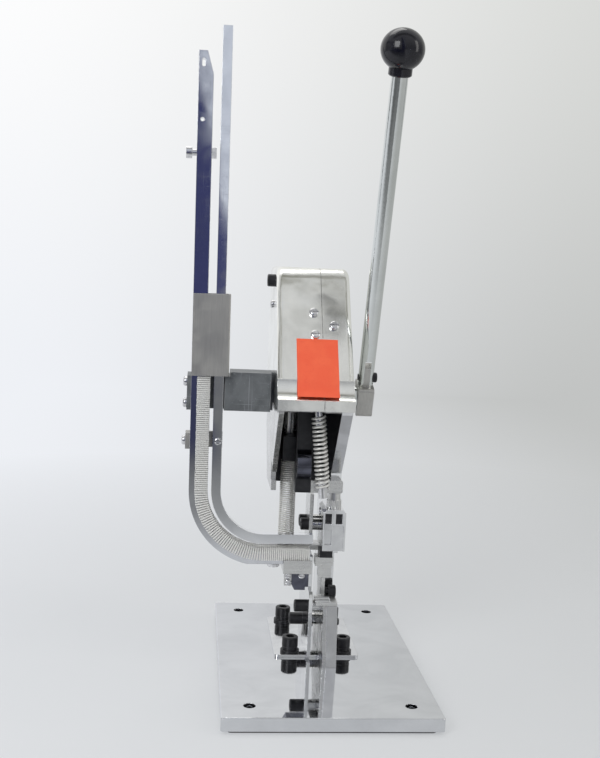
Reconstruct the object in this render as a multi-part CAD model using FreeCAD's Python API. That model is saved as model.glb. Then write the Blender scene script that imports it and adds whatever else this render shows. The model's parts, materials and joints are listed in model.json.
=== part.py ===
import FreeCAD
import Part
import math
import os

# Bench-top hand-lever clip press. Millimetres, +Z up, origin at the middle of the underside.

os.makedirs("parts", exist_ok=True)
V = FreeCAD.Vector
AX = V(1, 0, 0)
AY = V(0, 1, 0)
AZ = V(0, 0, 1)

# Base
pad_t = 3.0
pad_inset = 5.0
base_x = 160.0
base_y = 255.0
base_t = 10.0
base_top = pad_t + base_t
bolt_hole_d = 9.0
bolt_inset = 21.0

# Fasteners
m8_d = 8.0
m8_head_d = 13.0
m8_head_h = 8.0
m6_d = 6.0
m6_head_d = 10.0
m6_head_h = 6.0
m4_d = 4.0
m4_head_d = 7.5
m4_head_h = 2.6
washer_t = 5.0
washer_flange_d = 15.4
washer_flange_t = 2.0

# Frame plates
foot_t = 2.0
foot_x0 = -34.5
foot_x1 = 34.0
foot_y0 = -10.6
gate_front = -16.0
foot_y1 = 84.0
foot_top = base_top + foot_t
frame_x0 = 4.5
frame_x1 = 13.0
frame_back = 72.0
jaw_front = -33.0
jaw_top_front = -24.0
jaw_top = 60.0
throat_back = 10.0
neck_low = 100.0
neck_front = -9.9
neck_high = 165.0
nose_front = -56.0
nose_low = 218.0
nose_high = 226.0
cheek_t = 2.8
cheek_x0 = frame_x0 - cheek_t
gate_x0 = -9.0
gate_x1 = -6.0
side_x0 = -43.0
side_x1 = -39.0

# Cover
cover_t = 1.0
cover_x0 = side_x0 - cover_t - 0.3
cover_x1 = frame_x1 + cover_t + 0.5
cover_round = 5.0
plate_inset = cover_round - 0.6
seam_x = -9.0
seam_gap = 0.3
rim_front = -58.0
rim_low = 220.5
rim_high = 228.5
slope_low_y = -47.0
slope_low_z = 243.0
slope_high_y = 3.0
slope_high_z = 314.0
cover_top = 327.0
top_bend = 20.0
cove_mid_y = -50.6
cove_mid_z = 233.6
cover_back = 75.0
slope_dir = math.atan2(slope_high_z - slope_low_z, slope_high_y - slope_low_y)

# Lever and shaft
shaft_y = 6.0
shaft_z = 224.0
shaft_d = 14.0
run_clear = 0.04
bush_d = 18.0
bush_flange_d = 23.0
bush_flange_t = 2.0
lever_x = 30.0
lever_lean = 20.0
hub_w = 12.6
hub_h = 23.0
tube_d = 12.4
tube_wall = 1.6
tube_start = 13.0
tube_notch_w = 5.0
tube_notch_l = 22.0
knob_at = 273.6
knob_d = 31.4
knob_squash = 0.94
knob_neck_d = 17.0

# Rack and pinion
gear_m = 2.0
gear_n = 16
pitch_r = gear_m * gear_n / 2.0
backlash = 0.5
rack_x0 = -25.0
rack_x1 = -12.5
rack_pitch_y = shaft_y - pitch_r
rack_root_y = rack_pitch_y - 1.25 * gear_m
rack_front = -21.0
rack_low = 151.0
pinion_x0 = -22.5
rack_high = 262.0
cross_low = rack_low
cross_high = 161.0
cross_x1 = 13.0
cross_back = -10.2
stroke = pitch_r * math.radians(70.0)
stop_d = 24.0
stop_at_z = 173.5

# Ram
ram_x0 = -1.7
ram_x1 = 16.2
ram_low = 105.5
ram_high = 138.5
ram_front = -26.0
cheek_back = 8.0
slide_gap = 0.08
guide_pin_d = 6.0
guide_pin_y = 1.0
guide_pin_z = 131.5
stud_x = 7.2
stud_y = -16.0
stud_d = 8.0
nut_clear = 0.3
punch_x0 = -3.0
punch_x1 = 7.0
punch_y0 = -22.0
punch_y1 = -10.5
punch_low = 83.0
die_top = 63.0

# Springs
left_x = -27.5
left_y = 13.0
left_r = 6.1
left_wire = 1.2
left_pitch = 1.746
left_turns = 41
shelf_top = 101.0
shelf_t = 4.0
arm_t = 19.6
rod_d = 10.8
rod_x = -28.3
rod_high = 214.0
right_x = -10.2
right_y = -33.0
right_r = 4.8
right_wire = 1.9
right_pitch = 3.35
right_turns = 17
right_top = 213.5
right_lean = 5.76

# Magazine
mag_y = -15.0
bend_x = -48.0
bend_z = 151.0
mag_lean = 0.6
keeper_top = 505.0
keeper_end = -8.8
rail_r1 = 60.0
rail_t = 11.4
rail_trim = 1.4
rail_w = 9.0
rail_r0 = rail_r1 - rail_t
rail_top = 485.7
rail_end = -10.8
clip_r0 = rail_r0 - 5.8
clip_r1 = rail_r0 + 6.9
clip_wire = 1.9
clip_t = 1.25
clip_pitch = 1.6
clips_top = 241.0
back_gap = 0.4
keeper_gap = 0.4
keeper_t = 7.4
keeper_w = 7.0
keeper_r1 = clip_r0 - keeper_gap
keeper_r0 = keeper_r1 - keeper_t
rail_x0 = bend_x - rail_r1
rail_x1 = bend_x - rail_r0
keeper_x0 = bend_x - keeper_r1
keeper_x1 = bend_x - keeper_r0
rail_y0 = mag_y - rail_w / 2
rail_y1 = mag_y + rail_w / 2
clip_back = rail_y1 + clip_wire + back_gap
clip_front = rail_y0 - clip_wire - back_gap

# Pusher
push_x0 = rail_x0
push_x1 = keeper_x1 + 3.8
push_t = 1.5
push_low = clips_top + 0.3
push_h = 63.0
push_front = -24.2
push_back = -6.0


def box(x0, x1, y0, y1, z0, z1):
    return Part.makeBox(x1 - x0, y1 - y0, z1 - z0, V(x0, y0, z0))


def rod(d, start, length, axis):
    return Part.makeCylinder(d / 2.0, length, start, axis)


def tube(d_out, d_in, start, length, axis):
    return rod(d_out, start, length, axis).cut(rod(d_in, start, length, axis))


def plate_yz(points, x0, x1):
    wire = Part.makePolygon([V(x0, y, z) for y, z in points] + [V(x0, points[0][0], points[0][1])])
    return Part.Face(wire).extrude(V(x1 - x0, 0, 0))


def plate_xz(points, y0, y1):
    wire = Part.makePolygon([V(x, y0, z) for x, z in points] + [V(points[0][0], y0, points[0][1])])
    return Part.Face(wire).extrude(V(0, y1 - y0, 0))


def round_edges(shape, radius, test):
    edges = [e for e in shape.Edges if test(e)]
    return shape.makeFillet(radius, edges) if edges else shape


def bevel_edges(shape, size, test):
    edges = [e for e in shape.Edges if test(e)]
    return shape.makeChamfer(size, edges) if edges else shape


def along(edge, axis):
    a = edge.Vertexes[0].Point
    b = edge.Vertexes[-1].Point
    d = b.sub(a)
    if d.Length < 1e-6:
        return False
    d.normalize()
    return abs(d.dot(axis)) > 0.999


def turned(shape, start, axis):
    turn = FreeCAD.Rotation(AZ, axis)
    return shape.transformGeometry(FreeCAD.Placement(start, turn).toMatrix())


def cap_screw(d, head_d, head_h, length, start, axis):
    # head above the start point, shank below it, axis points out of the head
    head = Part.makeCylinder(head_d / 2.0, head_h)
    head = bevel_edges(head, 0.6, lambda e: abs(e.BoundBox.ZMin - head_h) < 1e-6 and e.BoundBox.ZLength < 1e-6)
    hexa = Part.makePolygon([V(d * 0.48 * math.cos(math.radians(60 * i)), d * 0.48 * math.sin(math.radians(60 * i)),
                               head_h * 0.45) for i in range(7)])
    head = head.cut(Part.Face(hexa).extrude(V(0, 0, head_h)))
    shank = Part.makeCylinder(d / 2.0, length, V(0, 0, -length))
    return turned(head.fuse(shank).removeSplitter(), start, axis)


def pan_screw(d, head_d, head_h, length, start, axis):
    head = Part.makeCylinder(head_d / 2.0, head_h)
    head = round_edges(head, head_h * 0.6, lambda e: e.BoundBox.ZMin > head_h - 1e-6)
    slot = box(-head_d, head_d, -0.5, 0.5, head_h * 0.5, head_h * 2)
    shank = Part.makeCylinder(d / 2.0, length, V(0, 0, -length))
    return turned(head.cut(slot).fuse(shank).removeSplitter(), start, axis)


def save(name, shape):
    shape.exportStep("parts/" + name + ".step")


def helix_points(radius, pitch, turns, per_turn):
    count = int(turns * per_turn)
    pts = []
    for i in range(count + 1):
        a = 2 * math.pi * i / per_turn
        pts.append(V(radius * math.cos(a), radius * math.sin(a), pitch * i / per_turn))
    return pts


def helix_tangent(radius, pitch, a):
    t = V(-radius * math.sin(a), radius * math.cos(a), pitch / (2 * math.pi))
    t.normalize()
    return t


def biarc(p0, t0, p1, t1):
    # two arcs that meet with one tangent, equal lengths of control leg
    v = p1.sub(p0)
    t = t0.add(t1)
    a = 2 * (1 - t0.dot(t1))
    b = 2 * v.dot(t)
    c = -v.dot(v)
    d = -c / b if abs(a) < 1e-9 else (-b + math.sqrt(b * b - 4 * a * c)) / (2 * a)
    q0 = p0.add(t0 * d)
    q1 = p1.sub(t1 * d)
    joint = q0.add(q1) * 0.5
    return [bent(p0, t0, joint), bent_back(joint, p1, t1)]


def bent(p0, t0, p1):
    chord = p1.sub(p0)
    side = chord.sub(t0 * chord.dot(t0))
    if side.Length < 1e-7:
        return Part.LineSegment(p0, p1).toShape()
    side.normalize()
    r = chord.dot(chord) / (2 * chord.dot(side))
    centre = p0.add(side * r)
    half = p0.add(p1) * 0.5
    out = half.sub(centre)
    out.normalize()
    return Part.Arc(p0, centre.add(out * abs(r)), p1).toShape()


def bent_back(p0, p1, t1):
    edge = bent(p1, t1 * -1.0, p0)
    mid = edge.valueAt((edge.FirstParameter + edge.LastParameter) / 2.0)
    return Part.Arc(p0, mid, p1).toShape()


def spring(name, radius, pitch, turns, wire_d, lead):
    # one unbroken tube on quarter-turn biarcs, with a straight lead at both ends
    steps = turns * 4
    edges = []
    pts = []
    tans = []
    for i in range(steps + 1):
        a = math.pi * i / 2
        pts.append(V(radius * math.cos(a), radius * math.sin(a), pitch * i / 4.0))
        tans.append(helix_tangent(radius, pitch, a))
    first = pts[0].sub(tans[0] * lead)
    last = pts[-1].add(tans[-1] * lead)
    edges.append(Part.LineSegment(first, pts[0]).toShape())
    for i in range(steps):
        edges += biarc(pts[i], tans[i], pts[i + 1], tans[i + 1])
    edges.append(Part.LineSegment(pts[-1], last).toShape())
    path = Part.Wire(edges)
    ring = Part.Wire([Part.makeCircle(wire_d / 2.0, first, tans[0])])
    body = path.makePipeShell([ring], True, False)
    sample = helix_points(radius, pitch, turns, 36)
    least = 1e9
    for i in range(0, len(sample) - 20):
        for j in range(i + 20, min(i + 60, len(sample))):
            least = min(least, sample[i].sub(sample[j]).Length)
    print(name, "least gap to itself", round(least - wire_d, 3), "solids", len(body.Solids), "valid", body.isValid())
    return body


# Base
plate = box(-base_x / 2, base_x / 2, -base_y / 2, base_y / 2, pad_t, base_top)
plate = round_edges(plate, 2.0, lambda e: along(e, AZ))
plate = bevel_edges(plate, 0.6, lambda e: e.BoundBox.ZMin > base_top - 1e-6)
pad = box(-base_x / 2 + pad_inset, base_x / 2 - pad_inset, -base_y / 2 + pad_inset, base_y / 2 - pad_inset, 0, pad_t)
pad = round_edges(pad, 3.0, lambda e: along(e, AZ))
for sx in (-1, 1):
    for sy in (-1, 1):
        p = V(sx * (base_x / 2 - bolt_inset), sy * (base_y / 2 - bolt_inset), 0)
        hole = rod(bolt_hole_d, p, base_top * 2, AZ)
        plate = plate.cut(hole)
        pad = pad.cut(hole)

foot_screw_x = 21.5
foot_screw_y = (-2.5, 73.0)
foot = box(foot_x0, foot_x1, foot_y0, foot_y1, base_top, foot_top)
foot = round_edges(foot, 3.0, lambda e: along(e, AZ))
foot = foot.cut(box(cheek_x0, frame_x1, foot_y0, frame_back, base_top, foot_top))
screws = []
washers = []
foot_shank = foot_t + washer_t + 7.5
for sx in (-1, 1):
    for y in foot_screw_y:
        p = V(sx * foot_screw_x, y, foot_top + washer_t)
        screws.append(cap_screw(m8_d, m8_head_d, m8_head_h, foot_shank, p, AZ))
        stack = rod(m8_head_d - 0.4, V(p.x, p.y, foot_top), washer_t, AZ)
        stack = stack.fuse(rod(washer_flange_d, V(p.x, p.y, foot_top), washer_flange_t, AZ)).removeSplitter()
        washers.append(stack.cut(rod(m8_d, V(p.x, p.y, foot_top), washer_t, AZ)))
        hole = rod(m8_d, V(p.x, p.y, p.z - foot_shank), foot_shank, AZ)
        foot = foot.cut(hole)
        plate = plate.cut(hole)

# C-frame plate, left side plate, both held clear of the cover's cove and slope
cove_in = (cove_mid_y + 2.2, cove_mid_z - 3.2)
slope_in0 = (slope_low_y + plate_inset * math.sin(slope_dir), slope_low_z - plate_inset * math.cos(slope_dir))
plate_top = cover_top - 6.0
slope_in1 = (slope_in0[0] + (plate_top - slope_in0[1]) / math.tan(slope_dir), plate_top)
frame = plate_yz([(jaw_front, base_top), (jaw_top_front, jaw_top), (throat_back, jaw_top), (throat_back, neck_low),
                  (neck_front, neck_low), (neck_front, neck_high), (nose_front, nose_low), (nose_front, nose_high),
                  cove_in, slope_in0, slope_in1, (frame_back, slope_in1[1]), (frame_back, base_top)],
                 frame_x0, frame_x1)
side_low = 150.0
side = plate_yz([(neck_front, side_low), (neck_front, neck_high), (nose_front, nose_low), (nose_front, nose_high),
                 cove_in, slope_in0, slope_in1, (frame_back, slope_in1[1]), (frame_back, side_low + 40),
                 (40.0, side_low)], side_x0, side_x1)
side = side.cut(box(side_x0, side_x1, neck_front, neck_front + 7, 158.0, 172.0))
frame_screw_y = (-10.0, 50.0)
frame_screws = []
for y in frame_screw_y:
    x = (frame_x0 + frame_x1) / 2
    head = Part.makeCone(m6_d, m6_d / 2, m6_d / 2, V(x, y, pad_t), AZ)
    shank = rod(m6_d, V(x, y, pad_t + m6_d / 2), 19.0, AZ)
    screw = head.fuse(shank).removeSplitter()
    frame_screws.append(screw)
    plate = plate.cut(screw)
    frame = frame.cut(screw)

# Guide slot for the ram pin
slot_low = guide_pin_z - stroke - 0.5
slot = box(frame_x0, frame_x1, guide_pin_y - guide_pin_d / 2 - 0.05, guide_pin_y + guide_pin_d / 2 + 0.05,
           slot_low, guide_pin_z + 0.5)
slot_w = guide_pin_d + 0.1
slot = slot.fuse([rod(slot_w, V(frame_x0, guide_pin_y, slot_low), frame_x1 - frame_x0, AX),
                  rod(slot_w, V(frame_x0, guide_pin_y, guide_pin_z + 0.5), frame_x1 - frame_x0, AX)])
frame = frame.cut(slot)

# Shaft bushings
bush_right = rod(bush_d, V(frame_x0, shaft_y, shaft_z), frame_x1 - frame_x0 + bush_flange_t, AX)
bush_right = bush_right.fuse(rod(bush_flange_d, V(frame_x1, shaft_y, shaft_z), bush_flange_t, AX))
bush_left = rod(bush_d, V(side_x0, shaft_y, shaft_z), side_x1 - side_x0 + bush_flange_t, AX)
bush_left = bush_left.fuse(rod(bush_flange_d, V(side_x1, shaft_y, shaft_z), bush_flange_t, AX))
frame = frame.cut(bush_right)
side = side.cut(bush_left)
shaft_hole = rod(shaft_d + 2 * run_clear, V(side_x0 - 5, shaft_y, shaft_z), 80, AX)
bush_right = bush_right.cut(shaft_hole).removeSplitter()
bush_left = bush_left.cut(shaft_hole).removeSplitter()

# Tie spacers and screws
tie_spacer_d = 11.0
ties = ((25.7, plate_top - 5.6), (40.0, shaft_z + 2.0), (66.0, shaft_z + 6.0))
tie_spacers = []
tie_screws = []
tie_len = frame_x0 - side_x1
for y, z in ties:
    tie_spacers.append(tube(tie_spacer_d, m6_d, V(side_x1, y, z), tie_len, AX))
    screw = cap_screw(m6_d, m6_head_d, m6_head_h, -cover_x0 + frame_x1, V(cover_x0, y, z), V(-1, 0, 0))
    tie_screws.append(screw)
    hole = rod(m6_d, V(cover_x0, y, z), -cover_x0 + frame_x1, AX)
    side = side.cut(hole)
    frame = frame.cut(hole)

# Jaw cheek, gate plate, spacers, screws
cheek = plate_yz([(jaw_front, base_top), (jaw_top_front, jaw_top), (throat_back, jaw_top), (40.0, 40.0),
                  (40.0, base_top)], cheek_x0, frame_x0)
gate = plate_yz([(gate_front, foot_top), (gate_front, 64.0), (gate_front + 4, 68.0), (-4.0, 68.0), (-4.0, 95.0), (34.0, 95.0),
                 (58.0, 62.0), (58.0, foot_top)], gate_x0, gate_x1)
tongue_top = 84.0
die_back = punch_y1 + 6
cheek = cheek.fuse(box(cheek_x0, frame_x0, die_back + 0.3, 24.0, jaw_top - 10, tongue_top)).removeSplitter()
gate_points = ((-7.0, 55.0), (30.0, 32.0))
gate_head_h = 11.0
gate_screws = []
gate_spacers = []
gate_len = frame_x1 - gate_x0 - 1.0
for y, z in gate_points:
    gate_screws.append(cap_screw(m6_d, m6_head_d, gate_head_h, gate_len, V(gate_x0, y, z), V(-1, 0, 0)))
    gate_spacers.append(tube(10.0, m6_d, V(gate_x1, y, z), cheek_x0 - gate_x1, AX))
    hole = rod(m6_d, V(gate_x0, y, z), gate_len, AX)
    gate = gate.cut(hole)
    cheek = cheek.cut(hole)
    frame = frame.cut(hole)

# Die on the jaw, with the forming groove and two hidden screws
die = box(punch_x0 - 1, frame_x1, punch_y0 - 1, die_back, jaw_top, die_top)
die = die.cut(rod(6.0, V(punch_x0 - 1, mag_y - 3.6, die_top), 12.0, AX))
die = die.cut(rod(6.0, V(punch_x0 - 1, mag_y + 3.6, die_top), 12.0, AX))
throat_at = V(8.0, 0.0, jaw_top + m6_head_d / 2 + 0.3)
throat_screw = cap_screw(m6_d, m6_head_d, m6_head_h, throat_at.x - cheek_x0, throat_at, AX)
cheek = cheek.cut(rod(m6_d, V(cheek_x0, throat_at.y, throat_at.z), throat_at.x - cheek_x0, AX))

# Cover: one hood cut at the seam
def hood(t, x0, x1, low, radius):
    # upper box with rounded ends, on a lower box that carries the cove and the rim
    c = math.cos(slope_dir)
    s = math.sin(slope_dir)
    corner_y = slope_low_y + (cover_top - slope_low_z) / math.tan(slope_dir)
    leg = top_bend * math.tan(slope_dir / 2)
    bend_c = V(x0, corner_y + leg, cover_top - top_bend)
    q = V(x0, slope_low_y + t * s, slope_low_z - t * c)
    r = bend_c.add(V(0, -s, c) * (top_bend - t))
    mid = bend_c.add(V(0, -math.sin(slope_dir / 2), math.cos(slope_dir / 2)) * (top_bend - t))
    top0 = bend_c.add(V(0, 0, top_bend - t))
    p0 = V(x0, rim_front + t, low)
    p1 = V(x0, rim_front + t, rim_high - t)
    b2 = V(x0, cover_back - t, cover_top - t)
    b1 = V(x0, cover_back - t, q.z)
    b0 = V(x0, cover_back - t, low)
    cove = V(x0, cove_mid_y + 0.7 * t, cove_mid_z - 0.7 * t)
    upper = [Part.LineSegment(q, r).toShape(), Part.Arc(r, mid, top0).toShape(), Part.LineSegment(top0, b2).toShape(),
             Part.LineSegment(b2, b1).toShape(), Part.LineSegment(b1, q).toShape()]
    lower = [Part.LineSegment(p0, p1).toShape(), Part.Arc(p1, cove, q).toShape(), Part.LineSegment(q, b1).toShape(),
             Part.LineSegment(b1, b0).toShape(), Part.LineSegment(b0, p0).toShape()]
    top = Part.Face(Part.Wire(upper)).extrude(V(x1 - x0, 0, 0))
    ends = []
    for e in top.Edges:
        b = e.BoundBox
        if b.XLength < 1e-5 and b.ZMax > slope_low_z + 20 and b.YMin < cover_back - 5:
            ends.append(e)
    top = top.makeFillet(radius, ends)
    return top.fuse(Part.Face(Part.Wire(lower)).extrude(V(x1 - x0, 0, 0))).removeSplitter()


hood_out = hood(0.0, cover_x0, cover_x1, rim_low, cover_round)
hood_in = hood(cover_t, cover_x0 + cover_t, cover_x1 - cover_t, rim_low - 20, cover_round - cover_t)
hood_shell = hood_out.cut(hood_in)
for y, z in ties:
    hood_shell = hood_shell.cut(rod(m6_d, V(cover_x0 - 1, y, z), 10, AX))
hood_shell = hood_shell.cut(rod(bush_flange_d + 1.0, V(cover_x1 - 5, shaft_y, shaft_z), 10, AX))
hood_shell = hood_shell.cut(box(cover_x1 - 5, cover_x1 + 5, shaft_y - bush_flange_d / 2 - 0.5,
                                shaft_y + bush_flange_d / 2 + 0.5, rim_low - 5, shaft_z))
big = 400.0
cover_left = hood_shell.common(box(-big, seam_x - seam_gap / 2, -big, big, -big, 2 * big))
cover_right = hood_shell.common(box(seam_x + seam_gap / 2, big, -big, big, -big, 2 * big))

# Cover bar under the sloping front, and its screws
slope_n = V(0, -math.sin(slope_dir), math.cos(slope_dir))


def slope_point(x, z, depth):
    f = (z - slope_low_z) / (slope_high_z - slope_low_z)
    y = slope_low_y + f * (slope_high_y - slope_low_y)
    return V(x, y, z).sub(slope_n * depth)


bar_c0 = slope_point(side_x1, 268.0, cover_t)
bar_c1 = slope_point(side_x1, 298.0, cover_t)
bar_d = 8.0
bar_pts = [bar_c0, bar_c1, bar_c1.sub(slope_n * bar_d), bar_c0.sub(slope_n * bar_d)]
cover_bar = plate_yz([(p.y, p.z) for p in bar_pts], side_x1, frame_x0)
cover_screws = []
for x, z in ((-15.5, 292.0), (0.0, 282.5), (-14.7, 275.5)):
    p = slope_point(x, z, 0.0)
    cover_screws.append(pan_screw(m4_d, m4_head_d, m4_head_h, 7.0, p, slope_n))
    hole = rod(m4_d, p.sub(slope_n * 7.0), 10.0, slope_n)
    cover_bar = cover_bar.cut(hole)
    cover_left = cover_left.cut(hole)
    cover_right = cover_right.cut(hole)
side_screw_at = V(cover_x0, 31.0, plate_top - 25.0)
side_screw = pan_screw(m4_d, 6.5, m4_head_h, 5.3, side_screw_at, V(-1, 0, 0))
hole = rod(m4_d, side_screw_at, 5.3, AX)
side = side.cut(hole)
cover_left = cover_left.cut(hole)
cover_screws.append(side_screw)

# Rack guide: block beside the rack, on the C-frame
guide = box(rack_x0 - 6, frame_x0, rack_front - 6, -14.0, 232.0, 250.0)
guide = guide.cut(box(rack_x0 - slide_gap, rack_x1 + slide_gap, rack_front - slide_gap, 10, 230, 252))

# Rack bar and pinion
tooth_p = math.pi * gear_m
tan20 = math.tan(math.radians(20.0))


def rack_profile():
    half = tooth_p / 4.0 - backlash / 4.0
    tip = rack_pitch_y + gear_m
    pts = [(rack_front, rack_low), (rack_root_y, rack_low)]
    for i in range(-1, 6):
        z = shaft_z + tooth_p * (i + 0.5)
        pts.append((rack_root_y, z - half - 1.25 * gear_m * tan20))
        pts.append((tip, z - half + gear_m * tan20))
        pts.append((tip, z + half - gear_m * tan20))
        pts.append((rack_root_y, z + half + 1.25 * gear_m * tan20))
    pts.append((rack_root_y, rack_high))
    pts.append((rack_front, rack_high))
    return pts


def pinion_profile():
    base_r = pitch_r * math.cos(math.radians(20.0))
    tip_r = pitch_r + gear_m
    root_r = pitch_r - 1.25 * gear_m
    inv20 = tan20 - math.radians(20.0)
    half = math.pi / (2 * gear_n) - backlash / (4 * pitch_r)
    pts = []
    for i in range(gear_n):
        # a tooth gap faces the rack tooth on the -Y side
        mid = math.pi + 2 * math.pi * i / gear_n
        flank = []
        for k in range(7):
            r = max(base_r, root_r) + (tip_r - max(base_r, root_r)) * k / 6.0
            a = math.acos(min(1.0, base_r / r))
            flank.append((r, half + inv20 - (math.tan(a) - a)))
        low = (root_r, flank[0][1])
        left = [low] + flank
        for r, w in left:
            pts.append((shaft_y + r * math.cos(mid - w), shaft_z + r * math.sin(mid - w)))
        for r, w in reversed(left):
            pts.append((shaft_y + r * math.cos(mid + w), shaft_z + r * math.sin(mid + w)))
    return pts


rack = plate_yz(rack_profile(), rack_x0, rack_x1)
rack = rack.fuse(box(rack_x0, rack_x1, rack_front, cross_back, rack_low, rack_low + 29.0)).removeSplitter()
pinion = plate_yz(pinion_profile(), pinion_x0, rack_x1)
pinion = pinion.cut(rod(shaft_d, V(pinion_x0, shaft_y, shaft_z), rack_x1 - pinion_x0, AX))
crosshead = box(rack_x1, cross_x1, rack_front, cross_back, cross_low, cross_high)
crosshead = round_edges(crosshead, 1.5, lambda e: along(e, AY) and e.BoundBox.XMin > cross_x1 - 0.1)
stop_bar = rod(stop_d, V(rack_x0 + 0.4, rack_front + 2.0, stop_at_z), rack_x1 - rack_x0 - 1.6, AX)
stop_bar = stop_bar.common(box(-100, 100, -100, rack_front, 0, 300))

# Spring arm behind the rack bar, shelf on the C-frame
left_len = left_pitch * left_turns + left_wire
left_bottom = shelf_top
arm_low = left_bottom + left_len
arm_x0 = left_x - left_r - left_wire
spring_arm = box(arm_x0, rack_x1 - 1, cross_back, left_y + left_r + left_wire, arm_low, arm_low + arm_t)
spring_arm = round_edges(spring_arm, 3.0, lambda e: along(e, AZ) and e.BoundBox.YMin > 5)
guide_rod = rod(rod_d, V(rod_x, left_y, arm_low + arm_t), rod_high - arm_low - arm_t, AZ)
guide_rod = bevel_edges(guide_rod, 0.8, lambda e: e.BoundBox.ZMin > rod_high - 1e-6)

# Dark web between the plates, behind the pinion
web_y = 27.0
web_t = 3.0
web_low = 150.0
web_step = 163.0
web_high = 300.0
web = plate_xz([(side_x1, web_low), (rack_x1, web_low), (rack_x1, web_step), (frame_x0, web_step), (frame_x0, web_high),
                (side_x1, web_high)], web_y, web_y + web_t)
shelf_y0 = 9.0
shelf_y1 = 26.0
shelf = box(arm_x0, frame_x0, shelf_y0, shelf_y1, shelf_top - shelf_t, shelf_top)
shelf_high = shelf_top + 42.0
shelf = shelf.fuse(box(gate_x0, gate_x1, shelf_y0, shelf_y1 + 14, shelf_top - shelf_t, shelf_high))
shelf = shelf.removeSplitter()
spigot = rod(2 * left_r - left_wire - 2.0, V(left_x, left_y, shelf_top), 5.0, AZ)
shelf = shelf.fuse(spigot).removeSplitter()
shelf_screws = []
for y, z in ((20.0, shelf_top + 15.0), (33.0, shelf_top + 15.0)):
    p = V(gate_x0, y, z)
    shelf_screw_len = frame_x0 - gate_x0 + 7.0
    shelf_screws.append(cap_screw(m6_d, m6_head_d, m6_head_h, shelf_screw_len, p, V(-1, 0, 0)))
    gate_spacers.append(tube(10.0, m6_d, V(gate_x1, y, z), frame_x0 - gate_x1, AX))
    hole = rod(m6_d, p, shelf_screw_len, AX)
    shelf = shelf.cut(hole)
    frame = frame.cut(hole)

# Ram block straddling the C-frame edge, guide pin, stud, lock nut, punch
ram_bevel = 2.6
ram = plate_xz([(ram_x0, ram_low), (ram_x1, ram_low), (ram_x1, ram_high - ram_bevel), (ram_x1 - ram_bevel, ram_high),
                (ram_x0 + ram_bevel, ram_high), (ram_x0, ram_high - ram_bevel)], ram_front, cheek_back)
ram = ram.cut(box(frame_x0 - slide_gap, frame_x1 + slide_gap, cross_back, cheek_back + 1, ram_low - 1, ram_high + 1))
ram = round_edges(ram, 1.0, lambda e: along(e, AZ) and e.BoundBox.YMax < ram_front + 1)
port_w = 5.2
port_low = ram_high - 11.0
port_high = ram_high - 3.0
for x in (ram_x0 + 1.3, ram_x0 + 9.7):
    ram = ram.cut(box(x, x + port_w, ram_front - 1, ram_front + 2.6, port_low, port_high))
ram = ram.cut(box(ram_x0 + 7.8, ram_x1 - 1.6, ram_front - 1, ram_front + 1.2, ram_low - 1, port_low - 2.0))
ram = ram.cut(box(ram_x0 + 1.3, ram_x0 + 6.8, ram_front - 1, ram_front + 2.0, ram_low + 5.0, port_low - 5.0))
guide_pin = rod(guide_pin_d, V(ram_x0 - 0.6, guide_pin_y, guide_pin_z), ram_x1 - ram_x0 + 1.2, AX)
ram = ram.cut(guide_pin)
stud_low = 118.0
stud = rod(stud_d, V(stud_x, stud_y, stud_low), cross_high - stud_low, AZ)
ram = ram.cut(stud)
crosshead = crosshead.cut(stud)
nut_r = neck_front - stud_y - nut_clear
knurl = []
for i in range(48):
    a = 2 * math.pi * i / 48
    r = nut_r if i % 2 else nut_r - 0.35
    knurl.append(V(stud_x + r * math.cos(a), stud_y + r * math.sin(a), ram_high))
nut = Part.Face(Part.makePolygon(knurl + [knurl[0]])).extrude(V(0, 0, 6.5))
cone = Part.makeCone(nut_r - 0.6, stud_d / 2 + 0.6, cross_low - ram_high - 6.5, V(stud_x, stud_y, ram_high + 6.5), AZ)
nut = nut.fuse(cone).cut(stud).removeSplitter()
holder = box(punch_x0 - 0.2, punch_x1, punch_y0 - 1.5, cross_back - 0.3, ram_low - 6, ram_low)
punch = box(punch_x0, punch_x1, punch_y0, punch_y1, punch_low, ram_low - 6)
punch = punch.fuse(box(punch_x0 - 3.2, punch_x1 + 1.0, punch_y0, punch_y1, ram_low - 13, ram_low - 6)).removeSplitter()
punch = punch.cut(rod(5.0, V(punch_x0 - 1, mag_y - 1.2, punch_low - 1.4), 12.0, AX))

# Right spring anchors
lean = math.radians(right_lean)
right_len = right_pitch * right_turns
right_low_x = right_x + math.sin(lean) * right_len
right_low_z = right_top - math.cos(lean) * right_len
down = V(math.sin(lean), 0, -math.cos(lean))
right_end = V(right_low_x, right_y, right_low_z)
plug_d = 2 * right_r - right_wire - 0.4
stud_z = right_low_z - 2.3
spring_stud = rod(4.0, V(right_low_x, right_y, stud_z), rack_front + 4.0 - right_y, AY)
spring_stud = spring_stud.fuse(rod(plug_d, right_end.add(down * 7.0), 14.0, down * -1.0)).removeSplitter()
crosshead = crosshead.cut(rod(4.0, V(right_low_x, rack_front, stud_z), 4.0, AY))
pin_z = right_top + 5.0
spring_pin = rod(5.0, V(side_x1, right_y, pin_z), frame_x0 - side_x1, AX)
spring_pin = spring_pin.fuse(rod(plug_d, V(right_x, right_y, right_top).sub(down * 9.0), 16.0, down)).removeSplitter()

# Springs
left_coil = spring("left_spring", left_r, left_pitch, left_turns, left_wire, left_wire)
left_coil.translate(V(left_x, left_y, left_bottom + left_wire / 2))
# the right spring is a plain sleeve as wide as its turns
right_sleeve = tube(2 * right_r + right_wire, 2 * right_r - right_wire, right_end, right_len, down * -1.0)

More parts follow.
